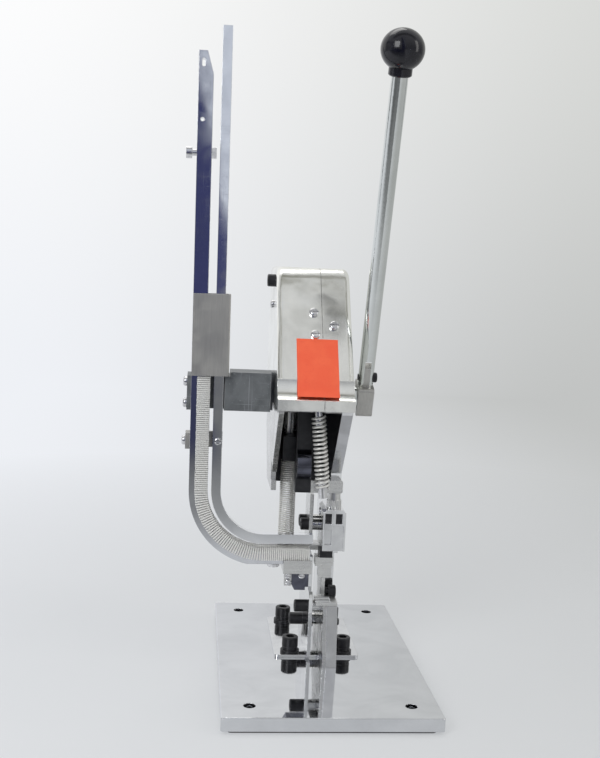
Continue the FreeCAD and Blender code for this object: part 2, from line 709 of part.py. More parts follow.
# Lever: shaft, collar, hub, tube, knob
shaft_x0 = side_x0 + 0.5
shaft_x1 = lever_x + hub_w / 2
shaft = rod(shaft_d, V(shaft_x0, shaft_y, shaft_z), shaft_x1 - shaft_x0, AX)
shaft = bevel_edges(shaft, 0.8, lambda e: e.BoundBox.XLength < 1e-6)
hub_x0 = lever_x - hub_w / 2
collar_x0 = frame_x1 + bush_flange_t + 0.3
collar = tube(20.0, shaft_d, V(collar_x0, shaft_y, shaft_z), hub_x0 - collar_x0, AX)
lean_rot = FreeCAD.Placement(V(lever_x, shaft_y, shaft_z), FreeCAD.Rotation(AX, lever_lean)).toMatrix()
hub = box(-hub_w / 2, hub_w / 2, -hub_h / 2, hub_h / 2, -hub_h / 2, tube_start)
hub = round_edges(hub, 3.0, lambda e: along(e, AX))
hub = hub.fuse(box(-tube_notch_w / 2, tube_notch_w / 2, -tube_d / 2 + 0.6, tube_d / 2 - 0.6, 0, tube_start + 16))
hub = hub.cut(rod(shaft_d, V(-hub_w, 0, 0), 2 * hub_w, AX)).removeSplitter()
tube_end = knob_at - knob_d / 2 + 3.0
grip = tube(tube_d, tube_d - 2 * tube_wall, V(0, 0, tube_start), tube_end - tube_start, AZ)
low_fill = rod(tube_d, V(0, 0, tube_start), tube_notch_l + 4, AZ)
grip = grip.fuse(low_fill)
grip = grip.cut(box(-tube_notch_w / 2, tube_notch_w / 2, -tube_d, tube_d, tube_start - 1, tube_start + tube_notch_l))
clevis_z = tube_start + 6.0
clevis_hole = rod(5.0, V(-tube_d, 0, clevis_z), 2 * tube_d, AX)
grip = grip.cut(clevis_hole).removeSplitter()
hub = hub.cut(clevis_hole)
clevis = cap_screw(5.0, 8.0, 4.0, tube_d - 1.0, V(tube_d / 2, 0, clevis_z), AX)
grip = grip.cut(rod(8.0, V(tube_d / 2 - 0.01, 0, clevis_z), 8.0, AX))
flat = box(tube_d / 2 - 1.4, tube_d, -4.6, 4.6, clevis_z - 4.6, clevis_z + 4.6)
grip = grip.cut(flat)
clevis.translate(V(-1.4, 0, 0))
flatten = FreeCAD.Matrix()
flatten.scale(1.0, 1.0, knob_squash)
knob = Part.makeSphere(knob_d / 2).transformGeometry(flatten)
knob.translate(V(0, 0, knob_at))
collar_low = knob_at - knob_d / 2 - 2.4
knob_neck = rod(knob_neck_d, V(0, 0, collar_low), 8.0, AZ)
knob_neck = bevel_edges(knob_neck, 0.8, lambda e: e.BoundBox.ZMax < collar_low + 1e-6)
knob = knob.fuse(knob_neck).removeSplitter()
knob = knob.cut(rod(tube_d, V(0, 0, knob_at - knob_d), tube_end - knob_at + knob_d, AZ))
lever_parts = {}
for name, shape in (("lever_hub", hub), ("lever_tube", grip), ("lever_screw", clevis), ("knob", knob)):
    lever_parts[name] = shape.transformGeometry(lean_rot)

# Magazine rail and keeper: straight, quarter bend, straight
def bend_ring(r0, r1, w):
    c = V(bend_x, mag_y - w / 2, bend_z)
    ring = Part.makeCylinder(r1, w, c, AY).cut(Part.makeCylinder(r0, w, c, AY))
    return ring.common(box(bend_x - r1, bend_x, mag_y - w, mag_y + w, bend_z - r1, bend_z))


rail = box(rail_x0, rail_x1, rail_y0, rail_y1, bend_z, rail_top)
rail = rail.cut(plate_xz([(rail_x0 + 0.56 * rail_t, rail_top + 1), (rail_x1 + 1, rail_top + 1), (rail_x1 + 1, rail_top - 17),
                          (rail_x1, rail_top - 17)], rail_y0 - 1, rail_y1 + 1))
rail = rail.fuse([bend_ring(rail_r0, rail_r1, rail_w),
                  box(bend_x, rail_end, rail_y0, rail_y1, bend_z - rail_r1, bend_z - rail_r0)]).removeSplitter()
rail_low = bend_z - rail_r1 + rail_trim
rail = rail.common(box(rail_x0, 0, rail_y0, rail_y1, rail_low, rail_top))
stop_z = rail_top - 75.2
slot_x = rail_x0 + 0.33 * rail_t
slot_z1 = rail_top - 6.7
slot_z0 = slot_z1 - 4.0
slot_d = 2.4
rail = rail.cut(rod(5.0, V(rail_x0 - 1, mag_y, stop_z), 20, AX))
rail = rail.cut(rod(3.0, V(slot_x, rail_y0 - 1, rail_top - 50.7), 20, AY))
rail = rail.cut(rod(slot_d, V(slot_x, rail_y0 - 1, slot_z1), 20, AY))
rail = rail.cut(rod(slot_d, V(slot_x, rail_y0 - 1, slot_z0), 20, AY))
rail = rail.cut(box(slot_x - slot_d / 2, slot_x + slot_d / 2, rail_y0 - 1, rail_y1 + 1, slot_z0, slot_z1))
stop_screw = rod(5.0, V(rail_x0 - 3.4, mag_y, stop_z), rail_t + 4.5, AX)
stop_screw = stop_screw.fuse(rod(9.0, V(rail_x0 - 7.9, mag_y, stop_z), 4.5, AX)).removeSplitter()
hex_pts = [V(rail_x1, mag_y + 4.6 * math.cos(math.radians(60 * i)), stop_z + 4.6 * math.sin(math.radians(60 * i)))
           for i in range(7)]
stop_nut = Part.Face(Part.makePolygon(hex_pts)).extrude(V(3.6, 0, 0)).cut(stop_screw)
keeper_y0 = mag_y - keeper_w / 2
keeper_y1 = mag_y + keeper_w / 2
keeper = box(keeper_x0, keeper_x1, keeper_y0, keeper_y1, bend_z, keeper_top)
keeper = keeper.fuse([bend_ring(keeper_r0, keeper_r1, keeper_w),
                      box(bend_x, keeper_end, keeper_y0, keeper_y1, bend_z - keeper_r1, bend_z - keeper_r0)])
keeper = keeper.removeSplitter()


# Clips: flat-faced U pieces round the rail, one after another along the path
def one_clip():
    w = rail_w / 2
    o = w + clip_wire
    pts = [(-clip_r1, -o), (-clip_r0 - 1.2, -o), (-clip_r0, -o + 1.6), (-clip_r0, o - 1.6), (-clip_r0 - 1.2, o),
           (-clip_r1, o), (-clip_r1, w), (-clip_r0 - clip_wire, w), (-clip_r0 - clip_wire, -w), (-clip_r1, -w)]
    wire = Part.makePolygon([V(x, y, 0) for x, y in pts + [pts[0]]])
    return Part.Face(wire).extrude(V(0, 0, clip_t))


clip = one_clip()
clips = []
z = clips_top - clip_t
while z > bend_z:
    c = clip.copy()
    c.translate(V(bend_x, mag_y, z))
    clips.append(c)
    z -= clip_pitch
step = clip_pitch / clip_r0
count = int((math.pi / 2) / step)
for i in range(count):
    c = clip.copy()
    c.translate(V(0, 0, -clip_t / 2))
    c.rotate(V(0, 0, 0), AY, -math.degrees(step * (i + 0.75)))
    c.translate(V(bend_x, mag_y, bend_z))
    clips.append(c)
x = bend_x + clip_pitch
while x < rail_end - clip_t:
    c = clip.copy()
    c.rotate(V(0, 0, 0), AY, -90)
    c.translate(V(x, mag_y, bend_z))
    clips.append(c)
    x += clip_pitch
print("clips", len(clips))


# The whole magazine leans a little to the left
def lean_magazine(shape):
    shape.rotate(V(bend_x, mag_y, bend_z), AY, -mag_lean)
    return shape


for shape in [rail, keeper, stop_screw, stop_nut] + clips:
    lean_magazine(shape)

# Magazine arm, bridge strap and fasteners
tab_x0 = rail_x0 - 4.0
arm_z0 = push_low - 27.6
arm_z1 = push_low - 0.9
arm_high = push_low + 2.5
arm_gap = 2.6
arm = box(tab_x0, cover_x0, clip_back, clip_back + 18, arm_z0, arm_z1)
arm = arm.fuse([box(tab_x0, rail_x0, rail_y0, clip_back, arm_z0, arm_z1),
                box(keeper_x1, cover_x0 - arm_gap, keeper_y0, clip_back, arm_z0, arm_z1),
                box(push_x1 + 0.6, cover_x0 - arm_gap, keeper_y0, clip_back, arm_z0, arm_high),
                box(push_x1 + 0.6, cover_x0, clip_back, clip_back + 18, arm_z0, arm_high)]).removeSplitter()
arm = arm.cut(rail).cut(keeper)
arm_screws = []
for z in (arm_z0 + 5, arm_z1 - 5):
    arm_screws.append(pan_screw(m4_d, m4_head_d, 3.0, 9.0, V(tab_x0, mag_y, z), V(-1, 0, 0)))
    hole = rod(m4_d, V(tab_x0, mag_y, z), 9.0, AX)
    arm = arm.cut(hole)
    rail = rail.cut(hole)
strap_z0 = 183.0
strap_z1 = 195.5
strap = box(tab_x0, keeper_x1, clip_back, clip_back + 3, strap_z0, strap_z1)
strap = strap.fuse([box(tab_x0, rail_x0, rail_y0, clip_back, strap_z0, strap_z1),
                    box(keeper_x0, keeper_x1, keeper_y1, clip_back, strap_z0, strap_z1)]).removeSplitter()
strap = strap.cut(rail).cut(keeper)
strap_mid = (strap_z0 + strap_z1) / 2
arm_screws.append(pan_screw(m4_d, m4_head_d, 3.0, 9.0, V(tab_x0, mag_y, strap_mid), V(-1, 0, 0)))
hole = rod(m4_d, V(tab_x0, mag_y, strap_mid), 9.0, AX)
strap = strap.cut(hole)
rail = rail.cut(hole)
keeper_mid = (keeper_x0 + keeper_x1) / 2
rivet = pan_screw(3.0, 5.6, 1.8, keeper_w + 4.0, V(keeper_mid, keeper_y0, strap_mid), V(0, -1, 0))
hole = rod(3.0, V(keeper_mid, keeper_y0, strap_mid), keeper_w + 4.0, AY)
keeper = keeper.cut(hole)
strap = strap.cut(hole)

# End block under the rail, bracket to the gate plate
end_low = rail_low - 6.4
bracket_low = end_low - 16.5
end_back = shelf_y0 - 0.6
end_block = box(-31.5, gate_x0, clip_front - 2.0, end_back, end_low, rail_low)
end_block = end_block.fuse(box(-31.5, gate_x0, clip_front - 2.0, clip_front, rail_low, rail_low + 4.2)).removeSplitter()
end_block = end_block.cut(rail)
bracket_face = -12.0
tab_t = 4.0
end_block = end_block.fuse(box(-29.4, -23.7, bracket_face, bracket_face + tab_t, end_low - 13.0, end_low)).removeSplitter()
bracket = plate_xz([(-23.5, end_low), (-23.5, end_low - 12), (-21.0, bracket_low), (-12.4, bracket_low),
                    (-12.4, end_low)], bracket_face, 13.0)
bracket = bracket.fuse(box(-12.4, gate_x0, -3.5, 13.0, bracket_low, end_low)).removeSplitter()
bracket_screws = []
for x, z in ((-26.5, end_low - 4.8), (-15.6, end_low - 4.8), (-26.2, end_low - 10.2)):
    bracket_screws.append(pan_screw(2.5, 5.0, 1.8, tab_t, V(x, bracket_face, z), V(0, -1, 0)))
    hole = rod(2.5, V(x, bracket_face, z), tab_t, AY)
    bracket = bracket.cut(hole)
    end_block = end_block.cut(hole)
low_screw = cap_screw(m4_d, 10.0, 2.6, 6.0, V(-39.0, mag_y, rail_low), V(0, 0, -1))
rail = rail.cut(rod(m4_d, V(-39.0, mag_y, rail_low), 6.0, AZ))
bracket_screws.append(low_screw)

# Pusher: folded channel round the keeper, shoe astride the rail
push_high = push_low + push_h
pusher = box(push_x0, push_x1, push_front, push_back, push_low, push_high)
pusher = pusher.cut(box(push_x0 - 1, push_x1 - push_t, push_front + push_t, push_back - push_t, push_low - 1, push_high + 1))
pusher = round_edges(pusher, 1.2, lambda e: along(e, AZ) and e.BoundBox.XMin > push_x1 - 0.1)
shoe = box(push_x0 + 1.5, bend_x - clip_r0 - 1.2, push_front + push_t, push_back - push_t, push_low, push_low + 40)
shoe = shoe.cut(box(push_x0, rail_x1 + 0.4, rail_y0 - 0.3, rail_y1 + 0.3, push_low - 1, push_high))

lean_magazine(pusher)
lean_magazine(shoe)

save("base_plate", plate)
save("base_pad", pad)
save("foot_plate", foot)
save("base_screws", Part.makeCompound(screws))
save("spring_washers", Part.makeCompound(washers))
save("c_frame", frame.removeSplitter())
save("frame_screws", Part.makeCompound(frame_screws))
save("jaw_cheek", cheek)
save("gate_plate", gate)
save("gate_screws", Part.makeCompound(gate_screws))
save("gate_spacers", Part.makeCompound(gate_spacers))
save("die", die)
save("throat_screw", throat_screw)
save("side_plate", side)
save("tie_spacers", Part.makeCompound(tie_spacers))
save("tie_screws", Part.makeCompound(tie_screws))
save("shaft_bushings", Part.makeCompound([bush_left, bush_right]))
save("cover_left", cover_left)
save("cover_right", cover_right)
save("cover_bar", cover_bar)
save("cover_screws", Part.makeCompound(cover_screws))
save("rack_guide", guide)
save("inner_web", web)
save("spring_shelf", shelf)
save("shelf_screws", Part.makeCompound(shelf_screws))
save("spring_pin", spring_pin)
save("magazine_rail", rail)
save("keeper_bar", keeper)
save("clip_stick", Part.makeCompound(clips))
save("magazine_arm", arm)
save("arm_screws", Part.makeCompound(arm_screws))
save("bridge_strap", strap)
save("strap_rivet", rivet)
save("stop_screw", Part.makeCompound([stop_screw, stop_nut]))
save("end_block", end_block)
save("end_bracket", bracket)
save("bracket_screws", Part.makeCompound(bracket_screws))
save("rack_bar", rack)
save("crosshead", crosshead)
save("stop_bar", stop_bar)
save("spring_arm", spring_arm)
save("guide_rod", guide_rod)
save("ram_stud", stud)
save("lock_nut", nut)
save("ram_block", ram)
save("guide_pin", guide_pin)
save("punch_holder", holder)
save("punch", punch)
save("spring_stud", spring_stud)
save("left_spring", left_coil)
save("right_spring", right_sleeve)
save("lever_shaft", shaft)
save("pinion", pinion)
save("shaft_collar", collar)
for name in sorted(lever_parts):
    save(name, lever_parts[name])
save("pusher_weight", pusher)
save("pusher_shoe", shoe)
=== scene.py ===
"""Finishes, springs, clips and studio for a bench clip press with a hand lever."""

import json
import math
import random

import bpy
from mathutils import Matrix, Vector

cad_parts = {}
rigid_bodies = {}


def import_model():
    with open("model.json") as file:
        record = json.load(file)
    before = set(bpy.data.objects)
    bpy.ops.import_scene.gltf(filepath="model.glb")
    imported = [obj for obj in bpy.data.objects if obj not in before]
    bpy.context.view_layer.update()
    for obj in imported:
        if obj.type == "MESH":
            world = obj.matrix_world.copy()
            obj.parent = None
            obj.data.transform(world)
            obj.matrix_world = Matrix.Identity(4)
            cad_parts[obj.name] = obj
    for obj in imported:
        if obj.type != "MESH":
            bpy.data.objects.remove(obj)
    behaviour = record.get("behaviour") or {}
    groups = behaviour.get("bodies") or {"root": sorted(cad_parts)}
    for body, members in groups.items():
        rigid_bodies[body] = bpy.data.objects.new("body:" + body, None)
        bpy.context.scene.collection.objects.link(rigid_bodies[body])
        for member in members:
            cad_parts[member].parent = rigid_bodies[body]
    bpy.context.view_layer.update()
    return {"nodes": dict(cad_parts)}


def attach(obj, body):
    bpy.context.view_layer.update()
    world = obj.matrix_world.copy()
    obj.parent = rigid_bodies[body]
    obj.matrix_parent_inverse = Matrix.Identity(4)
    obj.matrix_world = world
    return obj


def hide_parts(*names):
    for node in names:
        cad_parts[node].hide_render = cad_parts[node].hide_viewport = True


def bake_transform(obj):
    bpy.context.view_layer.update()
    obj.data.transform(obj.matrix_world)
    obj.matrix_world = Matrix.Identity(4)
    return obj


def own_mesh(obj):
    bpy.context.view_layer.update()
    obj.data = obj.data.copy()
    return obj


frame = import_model()
nodes = frame["nodes"]
mm = 0.001
quarter_turn = math.pi / 2

# Camera at the photograph's viewing angle

image_width = 600
focal_pixels = 1066.4
sensor_width = 36.0
camera_place = (-0.1061, -0.8414, 0.3269)
camera_yaw = math.radians(-5.654)
camera_down = math.radians(5.971)
camera_roll = math.radians(2.605)
nearest_seen = 0.01
farthest_seen = 50.0


def set_camera():
    lens = bpy.data.cameras.new("press_camera")
    lens.sensor_fit = "HORIZONTAL"
    lens.sensor_width = sensor_width
    lens.lens = focal_pixels * sensor_width / image_width
    lens.clip_start = nearest_seen
    lens.clip_end = farthest_seen
    camera = bpy.data.objects.new("press_camera", lens)
    bpy.context.scene.collection.objects.link(camera)
    turn = Matrix.Rotation(camera_yaw, 4, "Z") @ Matrix.Rotation(quarter_turn - camera_down, 4, "X")
    camera.matrix_world = Matrix.Translation(camera_place) @ turn @ Matrix.Rotation(camera_roll, 4, "Z")
    bpy.context.scene.camera = camera


# Helpers for modelling

weld_distance = 1e-6


def deselect_everything():
    for thing in bpy.context.view_layer.objects:
        thing.select_set(False)


def pick(thing):
    deselect_everything()
    thing.select_set(True)
    bpy.context.view_layer.objects.active = thing


def settle(thing):
    pick(thing)
    bpy.ops.object.transform_apply(location=True, rotation=True, scale=True)


def apply_modifiers(thing):
    pick(thing)
    for modifier in list(thing.modifiers):
        bpy.ops.object.modifier_apply(modifier=modifier.name)


def edit_all(thing):
    pick(thing)
    bpy.ops.object.mode_set(mode="EDIT")
    bpy.ops.mesh.select_all(action="SELECT")


def edit_some(thing, kind, items, wanted):
    # opens the mesh for editing with only the wanted faces or edges selected
    pick(thing)
    bpy.ops.object.mode_set(mode="EDIT")
    bpy.ops.mesh.select_mode(type=kind)
    bpy.ops.mesh.select_all(action="DESELECT")
    stop_editing()
    for item in items:
        item.select = wanted(item)
    bpy.ops.object.mode_set(mode="EDIT")


def stop_editing():
    bpy.ops.object.mode_set(mode="OBJECT")


def draw_out(way):
    bpy.ops.mesh.extrude_region_move(TRANSFORM_OT_translate={"value": way})


def smooth_below(degrees):
    bpy.ops.object.shade_smooth_by_angle(angle=math.radians(degrees))


def tidy_mesh(thing, degrees):
    edit_all(thing)
    bpy.ops.mesh.remove_doubles(threshold=weld_distance)
    bpy.ops.mesh.normals_make_consistent(inside=False)
    stop_editing()
    smooth_below(degrees)


def make_block(name, low, high):
    deselect_everything()
    middle = [(near + far) / 2 for near, far in zip(low, high)]
    bpy.ops.mesh.primitive_cube_add(size=1, location=middle)
    block = bpy.context.object
    block.name = name
    block.scale = [far - near for near, far in zip(low, high)]
    settle(block)
    return block


def finish_with(thing, material):
    thing.data.materials.clear()
    thing.data.materials.append(material)


# Helpers for shader nodes

VECTOR = "NodeSocketVector"
NUMBER = "NodeSocketFloat"


def feed(tree, socket, value):
    if isinstance(value, bpy.types.NodeSocket):
        tree.links.new(value, socket)
    else:
        socket.default_value = value


def add_node(tree, kind, inputs=None, **settings):
    made = tree.nodes.new(kind)
    for key, value in settings.items():
        setattr(made, key, value)
    for key, value in (inputs or {}).items():
        feed(tree, made.inputs[key], value)
    return made


def add_math(tree, operation, *values):
    return add_node(tree, "ShaderNodeMath", dict(enumerate(values)), operation=operation).outputs[0]


def add_noise(tree, coords, scale, detail, roughness=0.5, distortion=0.0):
    inputs = {"Vector": coords, "Scale": scale, "Detail": detail, "Roughness": roughness,
              "Distortion": distortion}
    return add_node(tree, "ShaderNodeTexNoise", inputs).outputs[0]


def add_bump(tree, height, strength, distance, normal=None):
    inputs = {"Height": height, "Strength": strength, "Distance": distance}
    if normal is not None:
        inputs["Normal"] = normal
    return add_node(tree, "ShaderNodeBump", inputs).outputs[0]


def spread(tree, value, low, high, to_low=0.0, to_high=1.0):
    inputs = {"Value": value, "From Min": low, "From Max": high, "To Min": to_low, "To Max": to_high}
    return add_node(tree, "ShaderNodeMapRange", inputs, clamp=True).outputs["Result"]


def smooth_step(tree, value, low, high):
    inputs = {"Value": value, "From Min": low, "From Max": high}
    return add_node(tree, "ShaderNodeMapRange", inputs, interpolation_type="SMOOTHSTEP").outputs["Result"]


def between(tree, value, one_fade, other_fade):
    one = smooth_step(tree, value, *one_fade)
    other = smooth_step(tree, value, *other_fade)
    return add_math(tree, "MULTIPLY", one, other)


def mix_colour(tree, factor, first, second):
    inputs = {0: factor, 6: first, 7: second}
    return add_node(tree, "ShaderNodeMix", inputs, data_type="RGBA").outputs[2]


def mix_shader(tree, factor, first, second):
    inputs = {0: factor, 1: first.outputs[0], 2: second.outputs[0]}
    return add_node(tree, "ShaderNodeMixShader", inputs)


def start_effect(name, takes, gives):
    group = bpy.data.node_groups.new(name, "ShaderNodeTree")
    for label, kind, value in takes:
        socket = group.interface.new_socket(label, in_out="INPUT", socket_type=kind)
        if value is not None:
            socket.default_value = value
    for label, kind in gives:
        group.interface.new_socket(label, in_out="OUTPUT", socket_type=kind)
    start = group.nodes.new("NodeGroupInput")
    end = group.nodes.new("NodeGroupOutput")
    return group, start.outputs, end.inputs


def use_effect(tree, group, coords, **inputs):
    return add_node(tree, "ShaderNodeGroup", {"Vector": coords, **inputs}, node_tree=group).outputs


# Shared surface effects

scratch_lays = (
    ((0.2, 0.1, 0.4), (1, 1, 0.02)),
    ((0.5, 1.2, 0.3), (1, 0.03, 1)),
    ((0.1, 0.7, 1.9), (0.02, 1, 1)),
)
scratch_cut = (0.66, 0.72)
smudge_cut = (0.36, 0.68)
fine_wave_scale = 3.1
fine_wave_share = 0.12
edge_bend = (0.985, 0.86)
edge_patch_scale = 180.0
edge_patch_cut = (0.35, 0.62)
grain_cut = (0.58, 0.7)


def hairline_scratches():
    takes = [("Vector", VECTOR, None), ("Scale", NUMBER, 900.0), ("Amount", NUMBER, 0.5)]
    group, given, out = start_effect("Hairline scratches", takes, [("Mask", NUMBER)])
    runs = []
    for turn, stretch in scratch_lays:
        inputs = {"Vector": given["Vector"], "Rotation": turn, "Scale": stretch}
        laid = add_node(group, "ShaderNodeMapping", inputs).outputs[0]
        lines = add_noise(group, laid, given["Scale"], detail=2.0, roughness=0.6)
        runs.append(spread(group, lines, *scratch_cut))
    both = add_math(group, "MAXIMUM", runs[0], runs[1])
    every = add_math(group, "MAXIMUM", both, runs[2])
    group.links.new(add_math(group, "MULTIPLY", every, given["Amount"]), out["Mask"])
    return group


def handling_smudges():
    takes = [("Vector", VECTOR, None), ("Scale", NUMBER, 40.0), ("Low", NUMBER, 0.05), ("High", NUMBER, 0.2)]
    group, given, out = start_effect("Handling smudges", takes, [("Value", NUMBER), ("Mask", NUMBER)])
    broad = add_noise(group, given["Vector"], given["Scale"], detail=5.0, roughness=0.55, distortion=0.6)
    mask = spread(group, broad, *smudge_cut)
    group.links.new(spread(group, mask, 0.0, 1.0, given["Low"], given["High"]), out["Value"])
    group.links.new(mask, out["Mask"])
    return group


def sheet_waves():
    takes = [("Vector", VECTOR, None), ("Scale", NUMBER, 30.0)]
    group, given, out = start_effect("Sheet waves", takes, [("Height", NUMBER)])
    slow = add_noise(group, given["Vector"], given["Scale"], detail=1.0, roughness=0.3)
    quick = add_math(group, "MULTIPLY", given["Scale"], fine_wave_scale)
    fine = add_noise(group, given["Vector"], quick, detail=1.0)
    group.links.new(add_math(group, "MULTIPLY_ADD", fine, fine_wave_share, slow), out["Height"])
    return group


def rubbed_edges():
    takes = [("Vector", VECTOR, None), ("Radius", NUMBER, 0.0006)]
    group, given, out = start_effect("Rubbed edges", takes, [("Mask", NUMBER), ("Normal", VECTOR)])
    softened = add_node(group, "ShaderNodeBevel", {"Radius": given["Radius"]}, samples=4).outputs[0]
    flat = add_node(group, "ShaderNodeNewGeometry").outputs["Normal"]
    facing = add_node(group, "ShaderNodeVectorMath", {0: softened, 1: flat}, operation="DOT_PRODUCT")
    edge = spread(group, facing.outputs["Value"], *edge_bend)
    patchy = add_noise(group, given["Vector"], edge_patch_scale, detail=4.0)
    worn = add_math(group, "MULTIPLY", edge, spread(group, patchy, *edge_patch_cut))
    group.links.new(worn, out["Mask"])
    group.links.new(softened, out["Normal"])
    return group


def fine_grit():
    takes = [("Vector", VECTOR, None), ("Scale", NUMBER, 2500.0)]
    group, given, out = start_effect("Fine grit", takes, [("Height", NUMBER), ("Mask", NUMBER)])
    grains = add_noise(group, given["Vector"], given["Scale"], detail=3.0, roughness=0.65)
    group.links.new(grains, out["Height"])
    group.links.new(spread(group, grains, *grain_cut), out["Mask"])
    return group


def grinding_lines():
    takes = [("Vector", VECTOR, None), ("Scale", NUMBER, 1400.0), ("Lay", VECTOR, None)]
    group, given, out = start_effect("Grinding lines", takes, [("Height", NUMBER)])
    inputs = {0: given["Vector"], 1: given["Lay"]}
    drawn = add_node(group, "ShaderNodeVectorMath", inputs, operation="MULTIPLY").outputs[0]
    lines = add_noise(group, drawn, given["Scale"], detail=4.0, roughness=0.7)
    group.links.new(lines, out["Height"])
    return group


scratches = hairline_scratches()
smudges = handling_smudges()
waves = sheet_waves()
edges = rubbed_edges()
grit = fine_grit()
ground = grinding_lines()

# Finishes: rough holds the least and greatest roughness, and wave, depth and edge are in metres

bare_steel = (0.86, 0.86, 0.87, 1)
streak_cut = (0.3, 0.7)


def start_finish(name):
    material = bpy.data.materials.new(name)
    material.use_nodes = True
    tree = material.node_tree
    shader = tree.nodes["Principled BSDF"]
    coords = add_node(tree, "ShaderNodeTexCoord").outputs["Object"]
    return material, tree, shader, coords


def fill_shader(tree, shader, colour, roughness, normal, levels=None):
    inputs = {"Base Color": colour, "Roughness": roughness, "Normal": normal}
    inputs.update(levels or {})
    for key, value in inputs.items():
        feed(tree, shader.inputs[key], value)


def plated(name, tint, shade, rough, smudge_scale, wave, wave_scale, scratch, edge, creased=None):
    # creased holds the heights where the waves start and stop growing, and by how much they grow
    material, tree, shader, coords = start_finish(name)
    touched = use_effect(tree, smudges, coords, Scale=smudge_scale, Low=rough[0], High=rough[1])
    lines = use_effect(tree, scratches, coords, Scale=1100.0, Amount=scratch)
    rim = use_effect(tree, edges, coords, Radius=edge)
    height = use_effect(tree, waves, coords, Scale=wave_scale)["Height"]
    if creased:
        start, stop, gain = creased
        rise = add_node(tree, "ShaderNodeSeparateXYZ", {"Vector": coords}).outputs["Z"]
        growth = add_math(tree, "MULTIPLY", spread(tree, rise, start, stop), gain)
        centred = add_math(tree, "SUBTRACT", height, 0.5)
        height = add_math(tree, "MULTIPLY", centred, add_math(tree, "ADD", growth, 1.0))
    colour = mix_colour(tree, touched["Mask"], tint, shade)
    roughness = add_math(tree, "ADD", touched["Value"], lines["Mask"])
    bump = add_bump(tree, height, strength=1.0, distance=wave, normal=rim["Normal"])
    fill_shader(tree, shader, colour, roughness, bump, {"Metallic": 1.0})
    return material


def satin(name, tint, shade, rough, lay, line_scale, depth, edge, metal=1.0):
    material, tree, shader, coords = start_finish(name)
    touched = use_effect(tree, smudges, coords, Scale=55.0, Low=rough[0], High=rough[1])
    cut = use_effect(tree, ground, coords, Scale=line_scale, Lay=lay)["Height"]
    lines = use_effect(tree, scratches, coords, Scale=800.0, Amount=0.12)
    rim = use_effect(tree, edges, coords, Radius=edge)
    colour = mix_colour(tree, spread(tree, cut, *streak_cut), shade, tint)
    colour = mix_colour(tree, rim["Mask"], colour, bare_steel)
    roughness = add_math(tree, "ADD", touched["Value"], lines["Mask"])
    bump = add_bump(tree, cut, strength=0.6, distance=depth, normal=rim["Normal"])
    fill_shader(tree, shader, colour, roughness, bump, {"Metallic": metal})
    return material


def coated(name, tint, shade, worn, rough, smudge_scale, grain_scale, strength, depth, edge, metal,
           scratched=None):
    material, tree, shader, coords = start_finish(name)
    touched = use_effect(tree, smudges, coords, Scale=smudge_scale, Low=rough[0], High=rough[1])
    grains = use_effect(tree, grit, coords, Scale=grain_scale)
    rim = use_effect(tree, edges, coords, Radius=edge)
    colour = mix_colour(tree, touched["Mask"], tint, shade)
    if scratched:
        lines = use_effect(tree, scratches, coords, Scale=700.0, Amount=0.6)
        colour = mix_colour(tree, lines["Mask"], colour, scratched)
    colour = mix_colour(tree, rim["Mask"], colour, worn)
    bump = add_bump(tree, grains["Height"], strength, depth, rim["Normal"])
    fill_shader(tree, shader, colour, touched["Value"], bump, {"Metallic": metal})
    return material


def grainy(name, tint, shade, specks, rough, smudge_scale, grain_scale, strength, depth):
    material, tree, shader, coords = start_finish(name)
    touched = use_effect(tree, smudges, coords, Scale=smudge_scale, Low=rough[0], High=rough[1])
    grains = use_effect(tree, grit, coords, Scale=grain_scale)
    colour = mix_colour(tree, touched["Mask"], tint, shade)
    colour = mix_colour(tree, grains["Mask"], colour, specks)
    bump = add_bump(tree, grains["Height"], strength, depth)
    fill_shader(tree, shader, colour, touched["Value"], bump)
    return material


def glossy(name, tint, shade, rough, levels):
    material, tree, shader, coords = start_finish(name)
    touched = use_effect(tree, smudges, coords, Scale=90.0, Low=rough[0], High=rough[1])
    lines = use_effect(tree, scratches, coords, Scale=900.0, Amount=0.1)
    height = use_effect(tree, waves, coords, Scale=120.0)["Height"]
    colour = mix_colour(tree, touched["Mask"], tint, shade)
    roughness = add_math(tree, "ADD", touched["Value"], lines["Mask"])
    bump = add_bump(tree, height, strength=0.5, distance=0.00005)
    fill_shader(tree, shader, colour, roughness, bump, levels)
    return material


base_chrome = plated(
    "base_chrome", tint=(0.7, 0.71, 0.73, 1), shade=(0.62, 0.63, 0.65, 1), rough=(0.02, 0.07),
    smudge_scale=26.0, wave=0.00003, wave_scale=14.0, scratch=0.05, edge=0.0007)
hood_chrome = plated(
    "hood_chrome", tint=(0.9, 0.9, 0.865, 1), shade=(0.83, 0.83, 0.795, 1), rough=(0.16, 0.25),
    smudge_scale=34.0, wave=0.0009, wave_scale=24.0, scratch=0.06, edge=0.0006, creased=(0.285, 0.325, 4.0))
plate_chrome = plated(
    "plate_chrome", tint=(0.78, 0.785, 0.79, 1), shade=(0.66, 0.665, 0.68, 1), rough=(0.05, 0.14),
    smudge_scale=45.0, wave=0.0003, wave_scale=55.0, scratch=0.08, edge=0.0006)
rail_chrome = plated(
    "rail_chrome", tint=(0.75, 0.76, 0.79, 1), shade=(0.62, 0.63, 0.66, 1), rough=(0.02, 0.08),
    smudge_scale=38.0, wave=0.00014, wave_scale=18.0, scratch=0.05, edge=0.0006)
keeper_chrome = plated(
    "keeper_chrome", tint=(0.88, 0.89, 0.91, 1), shade=(0.78, 0.79, 0.82, 1), rough=(0.02, 0.08),
    smudge_scale=38.0, wave=0.00014, wave_scale=18.0, scratch=0.05, edge=0.0006)
